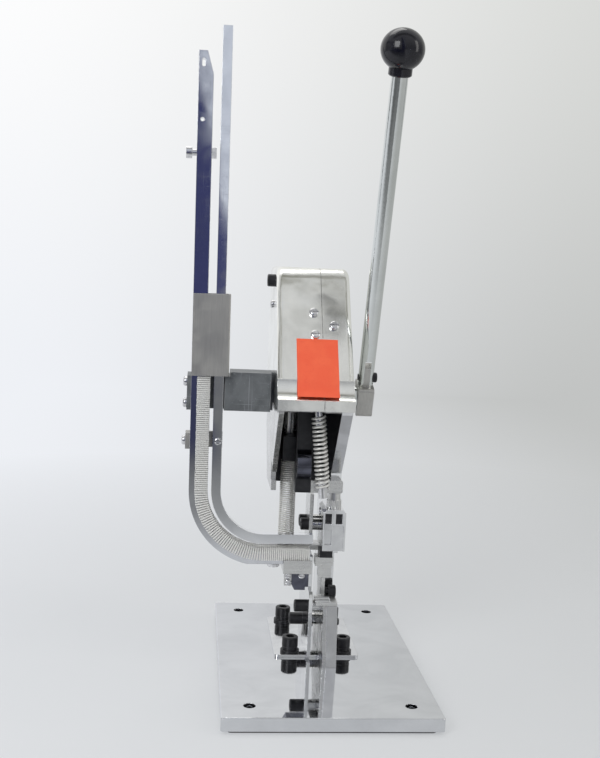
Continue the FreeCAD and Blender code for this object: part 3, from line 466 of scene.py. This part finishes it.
tube_chrome = plated(
    "tube_chrome", tint=(0.68, 0.7, 0.69, 1), shade=(0.6, 0.62, 0.61, 1), rough=(0.03, 0.09),
    smudge_scale=30.0, wave=0.00004, wave_scale=30.0, scratch=0.05, edge=0.0004)
screw_chrome = plated(
    "screw_chrome", tint=(0.76, 0.76, 0.77, 1), shade=(0.58, 0.58, 0.6, 1), rough=(0.1, 0.24),
    smudge_scale=160.0, wave=0.00004, wave_scale=90.0, scratch=0.1, edge=0.0004)
blued = plated(
    "blued_steel", tint=(0.13, 0.135, 0.17, 1), shade=(0.07, 0.072, 0.09, 1), rough=(0.08, 0.2),
    smudge_scale=90.0, wave=0.0001, wave_scale=60.0, scratch=0.1, edge=0.0005)
satin_steel = satin(
    "satin_steel", tint=(0.5, 0.49, 0.465, 1), shade=(0.41, 0.405, 0.385, 1), rough=(0.32, 0.46),
    lay=(1.0, 1.0, 0.05), line_scale=700.0, depth=0.00002, edge=0.0006, metal=0.8)
milled_steel = satin(
    "milled_steel", tint=(0.7, 0.7, 0.69, 1), shade=(0.58, 0.58, 0.57, 1), rough=(0.2, 0.34),
    lay=(0.06, 0.06, 1.0), line_scale=700.0, depth=0.00002, edge=0.0006)
clip_wire = satin(
    "clip_wire", tint=(0.86, 0.855, 0.82, 1), shade=(0.74, 0.73, 0.7, 1), rough=(0.36, 0.5),
    lay=(0.3, 1.0, 1.0), line_scale=600.0, depth=0.00002, edge=0.0003, metal=0.3)
spring_wire = satin(
    "spring_wire", tint=(0.84, 0.83, 0.8, 1), shade=(0.68, 0.67, 0.64, 1), rough=(0.3, 0.42),
    lay=(0.6, 0.6, 1.0), line_scale=900.0, depth=0.00002, edge=0.0003, metal=0.5)
oxide = coated(
    "black_oxide", tint=(0.012, 0.012, 0.014, 1), shade=(0.032, 0.032, 0.036, 1), worn=(0.2, 0.2, 0.21, 1),
    rough=(0.32, 0.5), smudge_scale=120.0, grain_scale=2600.0, strength=0.35, depth=0.00004, edge=0.0005,
    metal=0.4)
arm_paint = coated(
    "dark_grey_paint", tint=(0.125, 0.134, 0.14, 1), shade=(0.2, 0.212, 0.22, 1), worn=(0.42, 0.42, 0.43, 1),
    rough=(0.34, 0.52), smudge_scale=60.0, grain_scale=900.0, strength=0.5, depth=0.00008, edge=0.0008,
    metal=0.35, scratched=(0.4, 0.41, 0.43, 1))
phenolic = glossy(
    "gloss_black_phenolic", tint=(0.005, 0.005, 0.009, 1), shade=(0.012, 0.012, 0.018, 1), rough=(0.1, 0.22),
    levels={"Specular IOR Level": 0.35, "Coat Weight": 0.15, "Coat Roughness": 0.06})
rubber = grainy(
    "black_rubber_sheet", tint=(0.016, 0.016, 0.017, 1), shade=(0.04, 0.039, 0.038, 1),
    specks=(0.07, 0.07, 0.07, 1), rough=(0.7, 0.9), smudge_scale=50.0, grain_scale=1500.0, strength=0.7,
    depth=0.0002)
film = grainy(
    "orange_red_film", tint=(0.95, 0.12, 0.045, 1), shade=(0.98, 0.15, 0.06, 1),
    specks=(0.88, 0.1, 0.05, 1), rough=(0.55, 0.7), smudge_scale=70.0, grain_scale=1300.0, strength=0.3,
    depth=0.0001)

finish_of = {
    base_chrome: ["base_plate"],
    hood_chrome: ["cover_left", "cover_right"],
    plate_chrome: ["c_frame", "gate_plate", "foot_plate", "ram_block"],
    rail_chrome: ["magazine_rail"],
    keeper_chrome: ["keeper_bar"],
    tube_chrome: ["lever_tube", "lever_shaft", "shaft_collar"],
    screw_chrome: ["cover_screws", "arm_screws", "bracket_screws", "strap_rivet", "stop_screw", "spring_stud",
                   "spring_pin", "ram_stud", "guide_pin"],
    satin_steel: ["pusher_weight", "pusher_shoe", "lever_hub", "bridge_strap", "cover_bar", "shaft_bushings"],
    milled_steel: ["jaw_cheek", "end_block", "punch", "die", "spring_shelf", "gate_spacers", "pinion",
                   "side_plate", "guide_rod", "crosshead", "lock_nut"],
    oxide: ["base_screws", "spring_washers", "frame_screws", "gate_screws", "throat_screw", "tie_screws",
            "shelf_screws", "lever_screw", "rack_bar", "inner_web", "spring_arm", "punch_holder",
            "rack_guide", "tie_spacers"],
    arm_paint: ["magazine_arm"],
    blued: ["end_bracket", "stop_bar"],
    clip_wire: ["clip_stick"],
    spring_wire: ["left_spring", "right_spring"],
    phenolic: ["knob"],
    rubber: ["base_pad"],
}


def dress_nodes():
    for material, names in finish_of.items():
        for name in names:
            node = nodes[name]
            if not node.material_slots:
                node.data.materials.append(material)
            for slot in node.material_slots:
                slot.material = material


# Springs: a round wire wound by the screw modifier, closed at both ends

left_spring_foot = Vector((-27.5, 13.0, 101.0)) * mm
left_spring_radius = 6.1 * mm
left_spring_wire = 1.2 * mm
left_spring_pitch = 1.746 * mm
left_spring_turns = 41
right_spring_head = Vector((-10.2, -33.0, 213.5)) * mm
right_spring_radius = 4.8 * mm
right_spring_wire = 1.9 * mm
right_spring_pitch = 3.35 * mm
right_spring_turns = 17
right_spring_lean = math.radians(-5.76)
wire_sides = 12
turn_steps = 30
wire_smooth = 50


def wind_spring(name, radius, wire, pitch, turns):
    deselect_everything()
    bpy.ops.mesh.primitive_circle_add(
        vertices=wire_sides, radius=wire / 2, location=(radius, 0, 0), rotation=(quarter_turn, 0, 0))
    coil = bpy.context.object
    coil.name = name
    settle(coil)
    winding = coil.modifiers.new("winding", "SCREW")
    winding.axis = "Z"
    winding.screw_offset = pitch
    winding.iterations = turns
    winding.steps = turn_steps
    winding.render_steps = turn_steps
    apply_modifiers(coil)
    edit_all(coil)
    bpy.ops.mesh.fill_holes(sides=0)
    stop_editing()
    tidy_mesh(coil, wire_smooth)
    finish_with(coil, spring_wire)
    return coil


def make_left_spring():
    left = wind_spring(
        "return_spring", left_spring_radius, left_spring_wire, left_spring_pitch, left_spring_turns)
    left.location = left_spring_foot + Vector((0, 0, left_spring_wire / 2))
    settle(left)
    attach(left, "frame")
    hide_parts("left_spring")
    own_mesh(left)


def make_right_spring():
    right = wind_spring(
        "lift_spring", right_spring_radius, right_spring_wire, right_spring_pitch, right_spring_turns)
    length = right_spring_pitch * right_spring_turns
    down = Vector((-math.sin(right_spring_lean), 0, -math.cos(right_spring_lean)))
    right.rotation_euler = (0, right_spring_lean, 0)
    right.location = right_spring_head + down * length
    settle(right)
    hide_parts("right_spring")
    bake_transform(right)


# Clips: one bent wire, copied down the magazine and round its bend

bend_centre = Vector((-48.0, -15.0, 151.0)) * mm
magazine_lean = math.radians(-0.6)
clip_inner = 42.8 * mm
clip_outer = 55.5 * mm
clip_half = 6.4 * mm
clip_wide = 1.9 * mm
clip_thick = 1.25 * mm
clip_pitch = 1.6 * mm
clips_top = 241.0 * mm
clips_end = -10.8 * mm
clip_bend = 1.35 * mm
bend_steps = 3
clip_rounding = 0.42 * mm
rounding_steps = 2
clip_smooth = 60
clip_sharp = 50
row_smooth = 40
row_seed = 7
loose_out = 0.1 * mm
loose_across = 0.15 * mm


def bend_one_clip():
    deselect_everything()
    leg = clip_half - clip_wide / 2
    bpy.ops.mesh.primitive_plane_add(size=1, location=(-clip_outer, -leg, 0), rotation=(0, quarter_turn, 0))
    clip = bpy.context.object
    clip.name = "clip"
    clip.scale = (clip_thick, clip_wide, 1)
    settle(clip)
    reach = clip_outer - clip_inner - clip_wide / 2 - clip_bend
    across = 2 * leg - 2 * clip_bend
    corner = -clip_outer + reach
    turn = {"steps": bend_steps, "angle": quarter_turn, "axis": (0, 0, 1)}
    edit_all(clip)
    draw_out((reach, 0, 0))
    bpy.ops.mesh.spin(center=(corner, -leg + clip_bend, 0), **turn)
    draw_out((0, across, 0))
    bpy.ops.mesh.spin(center=(corner, leg - clip_bend, 0), **turn)
    draw_out((-reach, 0, 0))
    stop_editing()
    tidy_mesh(clip, clip_smooth)
    soft = clip.modifiers.new("rounded wire", "BEVEL")
    soft.width = clip_rounding
    soft.segments = rounding_steps
    soft.limit_method = "ANGLE"
    soft.angle_limit = math.radians(clip_sharp)
    apply_modifiers(clip)
    return clip


def clip_places():
    lean = Matrix.Translation(bend_centre) @ Matrix.Rotation(magazine_lean, 4, "Y")
    places = []
    rise = clip_pitch / 2
    while rise < clips_top - bend_centre.z - clip_thick / 2:
        places.append(lean @ Matrix.Translation((0, 0, rise)))
        rise += clip_pitch
    count = int(quarter_turn * clip_inner / clip_pitch)
    for i in range(count):
        places.append(lean @ Matrix.Rotation(-quarter_turn * (i + 0.5) / count, 4, "Y"))
    run = clip_pitch / 2
    while run < clips_end - bend_centre.x - clip_thick / 2:
        places.append(lean @ Matrix.Translation((run, 0, 0)) @ Matrix.Rotation(-quarter_turn, 4, "Y"))
        run += clip_pitch
    return places


def make_clips():
    chance = random.Random(row_seed)
    pattern = bend_one_clip()
    row = []
    for place in clip_places():
        copy = pattern.copy()
        copy.data = pattern.data.copy()
        bpy.context.scene.collection.objects.link(copy)
        out = chance.uniform(-loose_out, loose_out)
        across = chance.uniform(-loose_across, loose_across)
        copy.data.transform(place @ Matrix.Translation((out, across, 0)))
        row.append(copy)
    bpy.data.objects.remove(pattern)
    pick(row[0])
    for copy in row:
        copy.select_set(True)
    bpy.ops.object.join()
    stick = bpy.context.object
    stick.name = "clip_row"
    smooth_below(row_smooth)
    finish_with(stick, clip_wire)
    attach(stick, "frame")
    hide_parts("clip_stick")


# Dark inserts in the two ports on the front of the ram

block_smooth = 40
port_front = -25.4 * mm
port_back = -23.4 * mm
port_low = 127.5 * mm
port_high = 135.5 * mm
port_wide = 5.2 * mm
port_lefts = (-0.4 * mm, 8.0 * mm)
insert_rim = 0.7 * mm
insert_depth = 0.8 * mm


def faces_front(face):
    return face.normal.y < -0.9


def make_inserts():
    for number, left in enumerate(port_lefts):
        low = (left, port_front, port_low)
        high = (left + port_wide, port_back, port_high)
        insert = make_block("ram_insert_" + str(number + 1), low, high)
        edit_some(insert, "FACE", insert.data.polygons, faces_front)
        bpy.ops.mesh.inset(thickness=insert_rim)
        draw_out((0, insert_depth, 0))
        stop_editing()
        tidy_mesh(insert, block_smooth)
        finish_with(insert, oxide)
        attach(insert, "ram")


# Painted shade: a black block that carries the inner web down behind the right spring and fills the gap there
# with dark

skirt_left = -12.3 * mm
skirt_right = 4.3 * mm
skirt_front = 27.2 * mm
skirt_back = 29.8 * mm
skirt_low = 151.0 * mm
skirt_high = 162.8 * mm
skirt_rounding = 0.3 * mm


def make_shade_skirt():
    low = (skirt_left, skirt_front, skirt_low)
    high = (skirt_right, skirt_back, skirt_high)
    skirt = make_block("shade_skirt", low, high)
    rounding = skirt.modifiers.new("rounding", "BEVEL")
    rounding.width = skirt_rounding
    rounding.segments = rounding_steps
    apply_modifiers(skirt)
    tidy_mesh(skirt, block_smooth)
    # black oxide here paints the shade that falls behind the right spring
    finish_with(skirt, oxide)
    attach(skirt, "frame")


# Plain coloured film on the sloping front of the cover, bent inwards below the slope

slope_low = Vector((0, -47.0, 243.0)) * mm
slope_high = Vector((0, 3.0, 314.0)) * mm
film_left = -29.5 * mm
film_right = 2.5 * mm
film_top = 272.4 * mm
film_bottom = 231.0 * mm
film_thick = 0.2 * mm
film_lift = 0.05 * mm
film_sag = 1.3 * mm
film_cuts = 15
film_smooth = 40


def make_film():
    deselect_everything()
    along = (slope_high - slope_low).normalized()
    out = Vector((0, -along.z, along.y))
    top = slope_low + along * ((film_top - slope_low.z) / along.z)
    bottom = slope_low + along * ((film_bottom - slope_low.z) / along.z)
    middle = (top + bottom) / 2 + Vector(((film_left + film_right) / 2, 0, 0)) + out * film_lift
    bpy.ops.mesh.primitive_plane_add(size=1)
    patch = bpy.context.object
    patch.name = "front_film"
    patch.scale = (film_right - film_left, (top - bottom).length, 1)
    patch.rotation_euler = (math.atan2(along.z, along.y), 0, 0)
    patch.location = middle
    settle(patch)
    edit_all(patch)
    bpy.ops.mesh.subdivide(number_cuts=film_cuts)
    stop_editing()
    for corner in patch.data.vertices:
        below = (slope_low.z - corner.co.z) / (slope_low.z - film_bottom)
        if below > 0:
            corner.co -= out * film_sag * math.sin(math.pi * min(1.0, below)) ** 2
    body = patch.modifiers.new("film", "SOLIDIFY")
    body.thickness = film_thick
    body.offset = 1.0
    apply_modifiers(patch)
    smooth_below(film_smooth)
    finish_with(patch, film)
    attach(patch, "frame")


# Studio sweep: a floor that turns up into a wall, seen from its inner side only.
# Each fade holds the places, in metres, where a colour starts and is complete.

sweep_width = 7.0
sweep_front = -3.2
sweep_back = 2.0
sweep_turn = 0.9
sweep_wall = 2.2
sweep_steps = 24
sweep_smooth = 60
edge_reach = 0.1
# The sweep's colours are painted light: the glow is brighter at the left and on the wall and darker to the
# right, and far from the press it takes over from the lit paper
side_fade = (-0.55, 0.85)
rise_fade = (0.0, 1.0)
floor_left = (0.86, 0.88, 0.92, 1)
floor_right = (0.54, 0.55, 0.545, 1)
wall_left = (1.0, 1.0, 1.0, 1)
wall_right = (0.68, 0.69, 0.67, 1)
paper_colour = (0.72, 0.73, 0.73, 1)
glow_reach = (0.25, 1.0)
glow_share = (0.55, 1.0)
mirrored_patches = (
    {"front": (-0.25, -0.6), "side": (0.12, 0.02), "colour": (0.16, 0.165, 0.17, 1)},
    {"front": (-0.8, -1.2), "side": (-0.06, -0.08), "colour": (0.05, 0.055, 0.11, 1)},
)


def sweep_finish():
    material = bpy.data.materials.new("pale_sweep")
    material.use_nodes = True
    tree = material.node_tree
    tree.nodes.clear()
    out = add_node(tree, "ShaderNodeOutputMaterial")
    where = add_node(tree, "ShaderNodeTexCoord").outputs["Object"]
    place = add_node(tree, "ShaderNodeSeparateXYZ", {"Vector": where}).outputs
    path = add_node(tree, "ShaderNodeLightPath").outputs
    far = add_node(tree, "ShaderNodeVectorMath", {0: where}, operation="LENGTH").outputs["Value"]
    # painted light: the glow fades from bright at the left and top to darker at the right, and its share
    # grows with distance
    side = smooth_step(tree, place["X"], *side_fade)
    low = mix_colour(tree, side, floor_left, floor_right)
    high = mix_colour(tree, side, wall_left, wall_right)
    shown = mix_colour(tree, smooth_step(tree, place["Z"], *rise_fade), low, high)
    for patch in mirrored_patches:
        ahead = smooth_step(tree, place["Y"], *patch["front"])
        share = add_math(tree, "MULTIPLY", ahead, smooth_step(tree, place["X"], *patch["side"]))
        share = add_math(tree, "MULTIPLY", share, path["Is Glossy Ray"])
        shown = mix_colour(tree, share, shown, patch["colour"])
    paper = add_node(tree, "ShaderNodeBsdfDiffuse", {"Color": paper_colour})
    glow = add_node(tree, "ShaderNodeEmission", {"Color": shown, "Strength": 1.0})
    seen = add_math(tree, "MAXIMUM", path["Is Camera Ray"], path["Is Glossy Ray"])
    seen = add_math(tree, "MAXIMUM", seen, path["Is Transmission Ray"])
    share = add_math(tree, "MULTIPLY", seen, spread(tree, far, *glow_reach, *glow_share))
    inner = mix_shader(tree, share, paper, glow)
    clear = add_node(tree, "ShaderNodeBsdfTransparent")
    outside = add_node(tree, "ShaderNodeNewGeometry").outputs["Backfacing"]
    one_sided = mix_shader(tree, outside, inner, clear)
    tree.links.new(one_sided.outputs[0], out.inputs["Surface"])
    return material


def make_sweep():
    deselect_everything()
    bpy.ops.mesh.primitive_plane_add(size=1, location=(0, (sweep_front + sweep_back) / 2, 0))
    sweep = bpy.context.object
    sweep.name = "pale_sweep"
    sweep.scale = (sweep_width, sweep_back - sweep_front, 1)
    settle(sweep)

    def at_back(edge):
        return all(sweep.data.vertices[i].co.y > sweep_back - edge_reach for i in edge.vertices)

    edit_some(sweep, "EDGE", sweep.data.edges, at_back)
    bpy.ops.mesh.spin(
        steps=sweep_steps, angle=quarter_turn, center=(0, sweep_back, sweep_turn), axis=(1, 0, 0))
    draw_out((0, 0, sweep_wall))
    stop_editing()
    tidy_mesh(sweep, sweep_smooth)
    edit_all(sweep)
    bpy.ops.mesh.flip_normals()
    stop_editing()
    finish_with(sweep, sweep_finish())


# Room for the chrome to reflect, with X to the right, Y away from the camera and Z up.
# A fade holds two parts of a unit direction, where a colour starts and where it is complete.

wall_fade = (-0.05, 0.75)
wall_low_colour = (0.5, 0.51, 0.52, 1)
wall_high_colour = (0.92, 0.93, 0.94, 1)
panel_front = (-0.3, -0.75)
panel_sides = ((0.075, 0.05), (-0.3, -0.2))
panel_colour = (0.07, 0.078, 0.2, 1)
window_slant = 4.4
window_fade = (0.135, 0.165)
window_colour = (0.8, 0.85, 0.95, 1)
lower_slant = 5.4
lower_fade = (-0.16, -0.2)
lower_colour = (0.34, 0.35, 0.36, 1)
band_sides = ((-0.94, -0.88), (-0.49, -0.55))
band_top = (0.6, 0.45)
band_colour = (0.16, 0.165, 0.18, 1)
beam_sides = ((-0.34, -0.22), (0.02, -0.1))
beam_low = (0.6, 0.8)
beam_colour = (0.3, 0.3, 0.26, 1)
room_strength = 0.75
backdrop_colour = (0.86, 0.87, 0.87, 1)


def make_room():
    world = bpy.data.worlds.new("studio_room")
    bpy.context.scene.world = world
    world.use_nodes = True
    tree = world.node_tree
    tree.nodes.clear()
    out = add_node(tree, "ShaderNodeOutputWorld")
    looked = add_node(tree, "ShaderNodeTexCoord").outputs["Generated"]
    way = add_node(tree, "ShaderNodeSeparateXYZ", {"Vector": looked}).outputs
    slant = add_math(tree, "MULTIPLY", way["X"], window_slant)
    above = smooth_step(tree, add_math(tree, "ADD", way["Z"], slant), *window_fade)
    slant = add_math(tree, "MULTIPLY", way["X"], lower_slant)
    below = smooth_step(tree, add_math(tree, "SUBTRACT", way["Z"], slant), *lower_fade)
    lit = add_math(tree, "MAXIMUM", above, below)
    ahead = smooth_step(tree, way["Y"], *panel_front)
    facing = add_math(tree, "MULTIPLY", ahead, between(tree, way["X"], *panel_sides))
    panel = add_math(tree, "MULTIPLY", facing, add_math(tree, "SUBTRACT", 1.0, lit))
    band = between(tree, way["X"], *band_sides)
    band = add_math(tree, "MULTIPLY", band, smooth_step(tree, way["Z"], *band_top))
    beam = between(tree, way["Y"], *beam_sides)
    beam = add_math(tree, "MULTIPLY", beam, smooth_step(tree, way["Z"], *beam_low))
    room = mix_colour(tree, smooth_step(tree, way["Z"], *wall_fade), wall_low_colour, wall_high_colour)
    room = mix_colour(tree, panel, room, panel_colour)
    room = mix_colour(tree, add_math(tree, "MULTIPLY", facing, above), room, window_colour)
    room = mix_colour(tree, add_math(tree, "MULTIPLY", facing, below), room, lower_colour)
    room = mix_colour(tree, band, room, band_colour)
    room = mix_colour(tree, beam, room, beam_colour)
    light = add_node(tree, "ShaderNodeBackground", {"Color": room, "Strength": room_strength})
    pale = add_node(tree, "ShaderNodeBackground", {"Color": backdrop_colour, "Strength": 1.0})
    seen = add_node(tree, "ShaderNodeLightPath").outputs["Is Camera Ray"]
    both = mix_shader(tree, seen, light, pale)
    tree.links.new(both.outputs[0], out.inputs["Surface"])


def hang_lamp(name, place, aim, width, height, power, colour):
    lamp = bpy.data.lights.new(name, "AREA")
    lamp.shape = "RECTANGLE"
    lamp.size = width
    lamp.size_y = height
    lamp.energy = power
    lamp.color = colour
    holder = bpy.data.objects.new(name, lamp)
    bpy.context.scene.collection.objects.link(holder)
    holder.location = place
    holder.rotation_euler = (Vector(aim) - Vector(place)).to_track_quat("-Z", "Y").to_euler()


def light_studio():
    make_room()
    hang_lamp("top_box", place=(-0.25, 0.6, 1.8), aim=(0, 0, 0.1), width=1.1, height=0.6, power=4.0,
              colour=(1.0, 0.99, 0.97))
    hang_lamp("left_box", place=(-0.95, -1.25, 1.0), aim=(0, 0, 0.25), width=0.7, height=0.9, power=11.0,
              colour=(0.98, 0.99, 1.0))
    hang_lamp("right_strip", place=(1.3, -0.6, 0.8), aim=(0, 0, 0.25), width=0.35, height=1.2, power=3.0,
              colour=(1.0, 0.98, 0.95))


bpy.context.scene.view_settings.view_transform = "Standard"
set_camera()
dress_nodes()
make_left_spring()
make_right_spring()
make_clips()
make_inserts()
make_shade_skirt()
make_film()
make_sweep()
light_studio()
